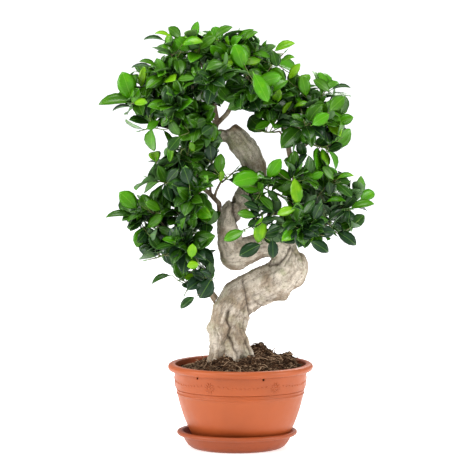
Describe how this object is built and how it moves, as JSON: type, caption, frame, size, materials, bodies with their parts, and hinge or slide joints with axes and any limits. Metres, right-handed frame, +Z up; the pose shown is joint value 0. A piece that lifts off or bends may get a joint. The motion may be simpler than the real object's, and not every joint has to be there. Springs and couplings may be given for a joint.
{
  "type": "potted bonsai tree",
  "caption": "Fig bonsai with an S-shaped trunk and pads of glossy oval leaves, planted in a round plastic bowl that stands on its saucer.",
  "frame": {"origin": "on the bowl's axis at the surface the saucer stands on", "axes": "+Z up along the tree, +X to the viewer's right of its display side, +Y away from the viewer"},
  "size_m": [0.4564, 0.2706, 0.7281],
  "materials": {
    "bowl": "satin terracotta-coloured moulded plastic",
    "saucer": "satin terracotta-coloured moulded plastic",
    "soil": "loose damp dark-brown peat with fibres",
    "bark": "smooth pale grey-beige fig bark with creases and specks",
    "twig": "rough grey-brown twig bark",
    "leaf": "leathery glossy green leaf, paler underneath"
  },
  "bodies": {
    "root": {"bowl": "bowl", "branch_crown": "twig", "branch_lower_left": "twig", "branch_lower_right": "twig", "branch_middle_left": "twig", "branch_upper_right": "twig", "leaves_crown_far_left": "leaf", "leaves_crown_hanging_left": "leaf", "leaves_crown_left_back": "leaf", "leaves_crown_left_front": "leaf", "leaves_crown_left_up": "leaf", "leaves_crown_low_front": "leaf", "leaves_crown_low_left": "leaf", "leaves_crown_right_back": "leaf", "leaves_crown_right_front": "leaf", "leaves_crown_right_inner": "leaf", "leaves_crown_right_low": "leaf", "leaves_crown_right_tip": "leaf", "leaves_crown_right_up": "leaf", "leaves_crown_top_back": "leaf", "leaves_crown_top_front": "leaf", "leaves_crown_top_front_left": "leaf", "leaves_crown_top_left": "leaf", "leaves_crown_top_left_inner": "leaf", "leaves_crown_top_left_low": "leaf", "leaves_crown_top_middle": "leaf", "leaves_lower_left_back_tip": "leaf", "leaves_lower_left_far_left": "leaf", "leaves_lower_left_front_tip": "leaf", "leaves_lower_left_hanging": "leaf", "leaves_lower_left_left_up": "leaf", "leaves_lower_left_low_front": "leaf", "leaves_lower_left_low_left": "leaf", "leaves_lower_left_right_up": "leaf", "leaves_lower_left_top_tip": "leaf", "leaves_lower_right_back_tip": "leaf", "leaves_lower_right_front_left": "leaf", "leaves_lower_right_front_tip": "leaf", "leaves_lower_right_left_up": "leaf", "leaves_lower_right_low_right": "leaf", "leaves_lower_right_right_tip": "leaf", "leaves_lower_right_right_up": "leaf", "leaves_lower_right_top_tip": "leaf", "leaves_middle_left_back_tip": "leaf", "leaves_middle_left_front_tip": "leaf", "leaves_middle_left_left_tip": "leaf", "leaves_middle_left_right_tip": "leaf", "leaves_middle_left_top_right": "leaf", "leaves_middle_left_top_tip": "leaf", "leaves_upper_right_back_tip": "leaf", "leaves_upper_right_front_tip": "leaf", "leaves_upper_right_left_tip": "leaf", "leaves_upper_right_low_left": "leaf", "leaves_upper_right_low_right": "leaf", "leaves_upper_right_right_tip": "leaf", "leaves_upper_right_right_up": "leaf", "leaves_upper_right_top_tip": "leaf", "saucer": "saucer", "soil": "soil", "trunk": "bark"}
  },
  "joints": []
}
